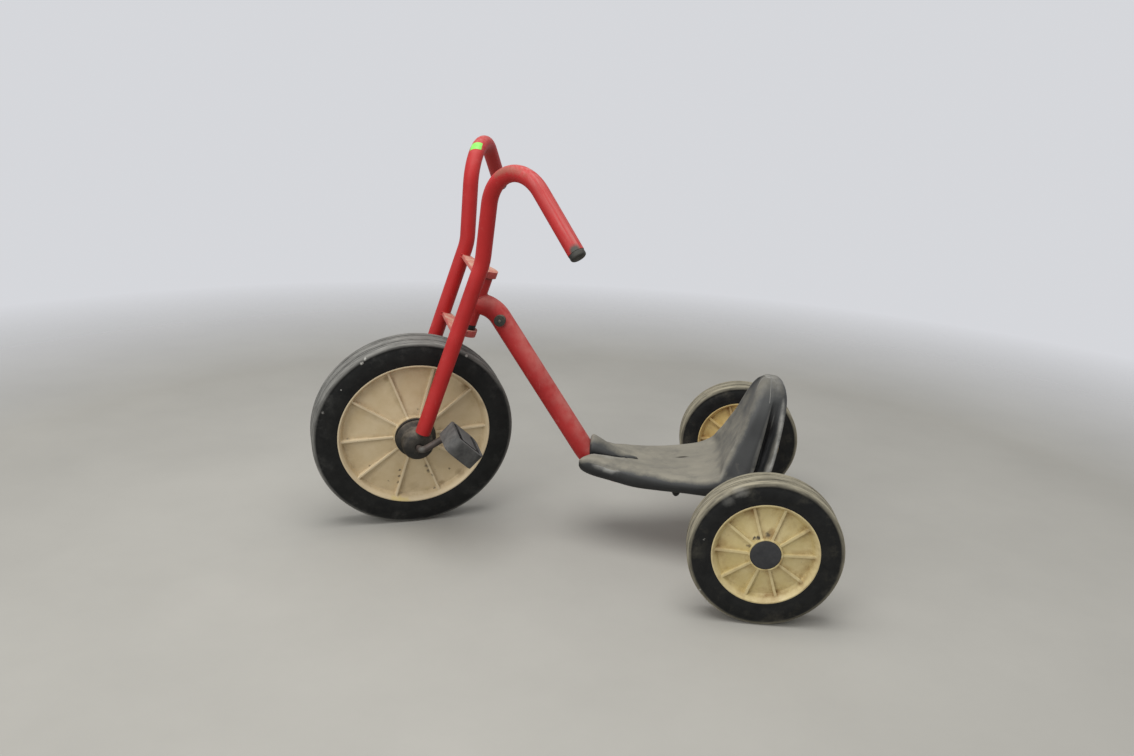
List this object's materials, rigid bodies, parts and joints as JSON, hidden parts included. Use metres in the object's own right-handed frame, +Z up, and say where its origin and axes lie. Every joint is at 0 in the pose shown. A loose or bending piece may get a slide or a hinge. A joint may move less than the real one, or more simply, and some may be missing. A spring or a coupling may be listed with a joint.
{
  "type": "child's tricycle",
  "caption": "Red steel nursery tricycle with a two-tube fork curving into handlebars, pedals on the front wheel, ribbed cream disc wheels and a low moulded seat with a backrest.",
  "frame": {"origin": "on the ground, midway along the length and on the plane of symmetry of the frame", "axes": "+X forward, +Y to the rider's left, +Z up"},
  "size_m": [0.9156, 0.564, 0.71],
  "materials": {
    "red_paint": "worn semi-gloss",
    "tyre_rubber": "dusty matte",
    "cream_plastic": "aged satin",
    "seat_plastic": "dusty moulded grain",
    "pedal_plastic": "worn matte",
    "black_plastic": "satin",
    "buffer_rubber": "matte",
    "bare_steel": "dull",
    "dark_steel": "grimy"
  },
  "bodies": {
    "frame": {"main_tube": "red_paint", "head_tube": "red_paint", "head_bush_upper": "black_plastic", "head_bush_lower": "black_plastic", "rear_axle_tube": "red_paint", "rear_axle": "bare_steel", "seat": "seat_plastic", "seat_lug_left": "red_paint", "seat_lug_right": "red_paint", "steering_buffers": "buffer_rubber"},
    "fork": {"fork_tube_left": "red_paint", "fork_tube_right": "red_paint", "upper_plate": "red_paint", "lower_plate": "red_paint", "steering_pin": "bare_steel", "bearing_housing_left": "black_plastic", "bearing_housing_right": "black_plastic", "grip_plug_left": "black_plastic", "grip_plug_right": "black_plastic"},
    "front_wheel": {"front_tyre": "tyre_rubber", "front_disc": "cream_plastic", "front_hub": "black_plastic", "crank_axle": "dark_steel"},
    "left_pedal": {"pedal_left": "pedal_plastic"},
    "right_pedal": {"pedal_right": "pedal_plastic"},
    "left_rear_wheel": {"rear_tyre_left": "tyre_rubber", "rear_disc_left": "cream_plastic", "hub_cap_left": "black_plastic"},
    "right_rear_wheel": {"rear_tyre_right": "tyre_rubber", "rear_disc_right": "cream_plastic", "hub_cap_right": "black_plastic"}
  },
  "joints": [
    {"name": "steer", "type": "hinge", "parent": "frame", "child": "fork", "pos_m": [0.1789, 0, 0.41251], "axis": [-0.309, 0, 0.9511], "range_deg": [-99, 51]},
    {"name": "front_wheel_spin", "type": "hinge", "parent": "fork", "child": "front_wheel", "pos_m": [0.28179, 0.012, 0.18307], "axis": [-0.3868, 0.9135, -0.1257], "continuous": true},
    {"name": "left_pedal_spin", "type": "hinge", "parent": "front_wheel", "child": "left_pedal", "pos_m": [0.16976, 0.12235, 0.20176], "axis": [-0.3868, 0.9135, -0.1257], "continuous": true},
    {"name": "right_pedal_spin", "type": "hinge", "parent": "front_wheel", "child": "right_pedal", "pos_m": [0.39382, -0.09835, 0.16438], "axis": [-0.3868, 0.9135, -0.1257], "continuous": true},
    {"name": "left_rear_wheel_spin", "type": "hinge", "parent": "frame", "child": "left_rear_wheel", "pos_m": [-0.33779, 0.257, 0.12], "axis": [0, 1, 0], "continuous": true},
    {"name": "right_rear_wheel_spin", "type": "hinge", "parent": "frame", "child": "right_rear_wheel", "pos_m": [-0.33779, -0.257, 0.12], "axis": [0, 1, 0], "continuous": true}
  ]
}
